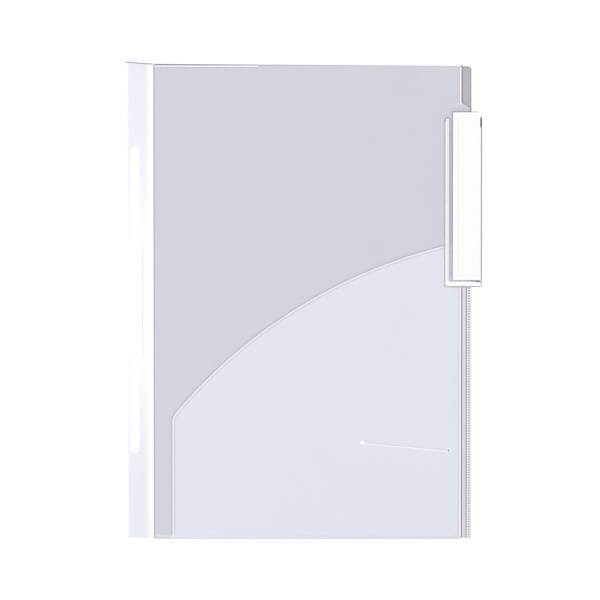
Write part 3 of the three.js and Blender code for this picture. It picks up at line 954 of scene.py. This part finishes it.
# Index holder: one film, folded round the tab at the fore edge and welded at its side and foot
holder = {
    "film": 0.25,
    "gap": 0.2,
    "left": 185.3,
    "fore": 209.1,
    "foot": 9,
    "head": 118.9,
    "sideWeld": 3.2,
    "footWeld": 4,
    "slope": 0.5,
    "corner": 1.3,
    "cutLine": 0.8,
    "pressLine": 0.45,
    "headLine": 0.5,
    "midLine": (1.75, 2.05),
    "foldShade": 0.3,
    "mouth": 6,
    "beadPitch": 1.25,
    "beadMargin": 3,
    "bead": (0.9, 0.75, 0.14),
    "sideBeads": (0.85, 2),
    "footBeads": (2.2, 0.6),
    "footBeadSink": 0.05,
}

card = {
    "thickness": 0.3,
    "left": 190.4,
    "width": 17.6,
    "length": 109.6,
    "corner": 1,
    "lineInset": (3.5, 3.4, 3.2),
    "line": 0.35,
    "edgeLine": 0.35,
}


def makeHolder():
    size = holder
    low = -covers["sheet"] / 2 - size["gap"] - size["film"]
    cardZ = covers["sheet"] / 2 + size["gap"]
    high = cardZ + card["thickness"] + size["gap"] + size["film"]
    foldRadius = (high - low) / 2
    foldX = size["fore"] - foldRadius
    topZ = high - size["film"] / 2
    weldZ = cardZ + size["film"] / 2
    left = size["left"]
    weldX = left + size["sideWeld"]
    slopeX = weldX + size["slope"]

    piece = startSheet("index_holder_film", slopeX, foldX, size["foot"], size["head"], topZ)
    giveFinishes(piece, [holderFilm, darkCut, weldWhiteAndHighlight, foldPaintedShade, softCut, creaseShade, gapShade])
    pick(piece, "EDGE", lambda at: near(at.x, foldX))
    bpy.ops.mesh.spin(steps=10, angle=-math.pi, center=(foldX, 0, (high + low) / 2), axis=(0, 1, 0))
    bpy.ops.mesh.extrude_region_move(TRANSFORM_OT_translate={"value": (left - foldX, 0, 0)})
    pick(piece, "EDGE", lambda at: near(at.x, slopeX) and at.z > 0)
    bpy.ops.mesh.extrude_region_move(TRANSFORM_OT_translate={"value": (-size["slope"], 0, weldZ - topZ)})
    bpy.ops.mesh.extrude_region_move(TRANSFORM_OT_translate={"value": (left - weldX, 0, 0)})
    bpy.ops.mesh.select_all(action="SELECT")
    bpy.ops.mesh.remove_doubles(threshold=0.001)
    bpy.ops.mesh.normals_make_consistent(inside=False)
    pick(piece, "VERT", lambda at: near(at.x, left))
    bpy.ops.mesh.bevel(offset=size["corner"], affect="VERTICES", segments=5)

    # Lines for the painted edges, across the whole film
    footLine = size["foot"] + size["footWeld"]
    footPress = footLine - size["pressLine"]
    sidePress = weldX - size["pressLine"]
    sideCut = left + size["cutLine"]
    footCut = size["foot"] + size["cutLine"]
    midLow, midHigh = [left + reach for reach in size["midLine"]]
    for x in (sideCut, midLow, midHigh, sidePress, card["left"]):
        cutAlong((x, 0, 0), (1, 0, 0))
    for y in (footCut, footPress, footLine):
        cutAlong((0, y, 0), (0, 1, 0))

    def overFoot(at):
        return at.y > footLine - slack

    def upper(at):
        return at.z > 0

    # White welds with painted highlight, painted shade lines at their edges and beside the card
    paintWhere(piece, weldWhiteAndHighlight, lambda at: upper(at) and at.x < weldX + slack)
    paintWhere(piece, weldWhiteAndHighlight, lambda at: upper(at) and at.y < footLine + slack)
    paintWhere(piece, darkCut, lambda at: at.x < sideCut + slack)
    paintWhere(piece, creaseShade, lambda at: between(at.x, sidePress, weldX) and overFoot(at))
    paintWhere(piece, gapShade, lambda at: between(at.x, weldX, card["left"]) and upper(at) and overFoot(at))
    paintWhere(piece, softCut, lambda at: between(at.x, midLow, midHigh) and upper(at) and overFoot(at))
    paintWhere(piece, creaseShade, lambda at: at.y < footCut + slack)
    paintWhere(piece, creaseShade, lambda at: between(at.y, footPress, footLine) and at.x > weldX - slack)

    # The fold is painted: a painted highlight where it starts and painted shade at its turn,
    # most of all at the open head and along the foot beside it
    mouthY = size["head"] - size["mouth"]
    headPress = size["head"] - size["headLine"]
    darkX = foldX - size["mouth"]
    paintWhere(piece, weldWhiteAndHighlight, lambda at: at.x > foldX - slack)
    cutAlong((0, mouthY, 0), (0, 1, 0))
    paintWhere(piece, foldPaintedShade, lambda at: at.x > foldX + size["foldShade"] * foldRadius)
    paintWhere(piece, foldPaintedShade, lambda at: at.x > foldX - slack and at.y > mouthY - slack)
    cutAlong((0, headPress, 0), (0, 1, 0))
    paintWhere(piece, darkCut, lambda at: upper(at) and at.y > headPress - slack and at.x < weldX + slack)
    cutAlong((darkX, 0, 0), (1, 0, 0))
    paintWhere(piece, foldPaintedShade, lambda at: between(at.y, footPress, footLine) and at.x > darkX - slack)
    applyModifier(piece, "SOLIDIFY", {"thickness": size["film"], "offset": 0, "use_even_offset": True})

    pitch = size["beadPitch"]
    across, along, thick = size["bead"]
    sideIn, sideUp = size["sideBeads"]
    count = int((size["head"] - size["foot"] - size["beadMargin"]) / pitch)
    side = beadRow("side_beads", (left + sideIn, size["foot"] + sideUp, weldZ + size["film"] / 2),
                   (0, pitch, 0), count, (across, along, thick))
    footIn, footDown = size["footBeads"]
    footCount = int((foldX - left - size["beadMargin"]) / pitch)
    footZ = topZ + size["film"] / 2 - size["footBeadSink"]
    lowBeads = beadRow("foot_beads", (left + footIn, footLine - footDown, footZ), (pitch, 0, 0), footCount,
                       (along, across, thick))
    piece = joinPieces([piece, side, lowBeads])
    setInFrame(piece, onFront, "front_leaf", "index_holder", passesLight=True)


makeHolder()


# Title card, with a thin printed frame on three sides
def makeCard():
    x0 = card["left"]
    x1 = x0 + card["width"]
    y0 = holder["foot"] + holder["footWeld"] + holder["gap"]
    y1 = y0 + card["length"]
    z0 = covers["sheet"] / 2 + holder["gap"]
    piece = startSheet("title_card_board", x0, x1, y0, y1, z0 + card["thickness"] / 2)
    giveFinishes(piece, [cardWhite, cardLine, darkCut])
    pick(piece, "VERT", lambda at: near(at.x, x1) and near(at.y, y1))
    bpy.ops.mesh.bevel(offset=card["corner"], affect="VERTICES", segments=5)
    # A line of painted shade round the edge, taken off again along the right side
    drawRings(piece, [(darkCut, card["edgeLine"])], cardWhite)
    paintWhere(piece, cardWhite, lambda at: at.x > x1 - card["corner"] - card["edgeLine"])
    side, foot, head = card["lineInset"]
    left = x0 + side
    right = x1 - card["edgeLine"]
    low = y0 + foot
    high = y1 - head
    line = card["line"]
    for x in (left, left + line):
        cutAlong((x, 0, 0), (1, 0, 0))
    for y in (low, low + line, high - line, high):
        cutAlong((0, y, 0), (0, 1, 0))
    paintWhere(piece, cardLine, lambda at: between(at.x, left, left + line) and between(at.y, low, high))
    paintWhere(piece, cardLine, lambda at: between(at.x, left, right) and between(at.y, low, low + line))
    paintWhere(piece, cardLine, lambda at: between(at.x, left, right) and between(at.y, high - line, high))
    applyModifier(piece, "SOLIDIFY", {"thickness": card["thickness"], "offset": 0})
    outwardFaces(piece)
    setInFrame(piece, onFront, "front_leaf", "title_card")


makeCard()

# Camera: square to the closed front cover, then tilted a little towards the folder's head
view = {
    "target": (0.0002, 0.00053, 0.00756),
    "tilt": math.radians(10.7),
    "frameWidth": 0.3832,
    "distance": 12,
    "sensor": 36,
}


def makeCamera():
    slope, tilt = closedSlope, view["tilt"]
    right = Vector((math.cos(slope), 0, -math.sin(slope)))
    back = Vector((math.sin(slope) * math.cos(tilt), math.sin(tilt), math.cos(slope) * math.cos(tilt)))
    up = back.cross(right)
    clearSelection()
    bpy.ops.object.camera_add()
    camera = bpy.context.object
    turn = Matrix((right, up, back)).transposed().to_4x4()
    camera.matrix_world = Matrix.Translation(Vector(view["target"]) + back * view["distance"]) @ turn
    camera.data.sensor_width = view["sensor"]
    camera.data.lens = view["sensor"] * view["distance"] / view["frameWidth"]
    camera.data.clip_start = 1
    camera.data.clip_end = 40
    bpy.context.scene.camera = camera


makeCamera()

# Pale floor, soft light from all round and a large soft key from the upper left
studio = {
    "floorSize": 6,
    "floorDrop": 0.0002,
    "floorLift": 0.3,
    "worldStrength": 0.8,
    "keyPower": 98,
    "keySize": 3.2,
    "keyPlace": (-3.2, 1.2, 4.4),
}


def seenDirectly(tree):
    path = addNode(tree, "ShaderNodeLightPath", (-800, 400), {}, {})
    first = addNode(tree, "ShaderNodeMath", (-500, 400), {"operation": "MAXIMUM"},
                    {0: path.outputs["Is Camera Ray"], 1: path.outputs["Is Glossy Ray"]})
    return addNode(tree, "ShaderNodeMath", (-300, 400), {"operation": "MAXIMUM"},
                   {0: first.outputs[0], 1: path.outputs["Is Transmission Ray"]}).outputs[0]


def makeFloor():
    half = studio["floorSize"] / 2
    floor = startSheet("studio_floor", -half, half, -half, half, -studio["floorDrop"])
    bpy.ops.mesh.subdivide(number_cuts=3)
    bpy.ops.object.mode_set(mode="OBJECT")
    material, tree, shader, position = newFinish("pale_studio_floor", {
        "Roughness": 0.95, "Specular IOR Level": 0.0, "Emission Color": linear("#ffffff"),
    })
    paper = addNode(tree, "ShaderNodeTexNoise", (-700, 0), {"Scale": 60.0, "Detail": 2.0},
                    {"Vector": position})
    colour = addNode(tree, "ShaderNodeMix", (100, 200), {
        "data_type": "RGBA", 6: linear("#f6f6f6"), 7: linear("#f4f4f4"),
    }, {0: paper.outputs["Fac"]})
    lift = addNode(tree, "ShaderNodeMath", (100, 400), {"operation": "MULTIPLY", 1: studio["floorLift"]},
                   {0: seenDirectly(tree)})
    tree.links.new(colour.outputs[2], shader.inputs["Base Color"])
    tree.links.new(lift.outputs[0], shader.inputs["Emission Strength"])
    giveFinishes(floor, [material])


def makeLight():
    world = bpy.data.worlds.new("studio_world")
    bpy.context.scene.world = world
    world.use_nodes = True
    tree = world.node_tree
    tree.nodes.clear()
    strength = addNode(tree, "ShaderNodeMapRange", (-100, 200), {
        "To Min": studio["worldStrength"], "To Max": 1.0,
    }, {"Value": seenDirectly(tree)})
    sky = addNode(tree, "ShaderNodeBackground", (200, 0), {"Color": linear("#ffffff")},
                  {"Strength": strength.outputs["Result"]})
    addNode(tree, "ShaderNodeOutputWorld", (400, 0), {}, {"Surface": sky.outputs[0]})
    clearSelection()
    bpy.ops.object.light_add(type="AREA", location=studio["keyPlace"])
    key = bpy.context.object
    key.data.energy = studio["keyPower"]
    key.data.size = studio["keySize"]
    key.rotation_euler = (-Vector(studio["keyPlace"])).to_track_quat("-Z", "Y").to_euler()


makeFloor()
makeLight()
bpy.context.scene.view_settings.view_transform = "Standard"
clearSelection()
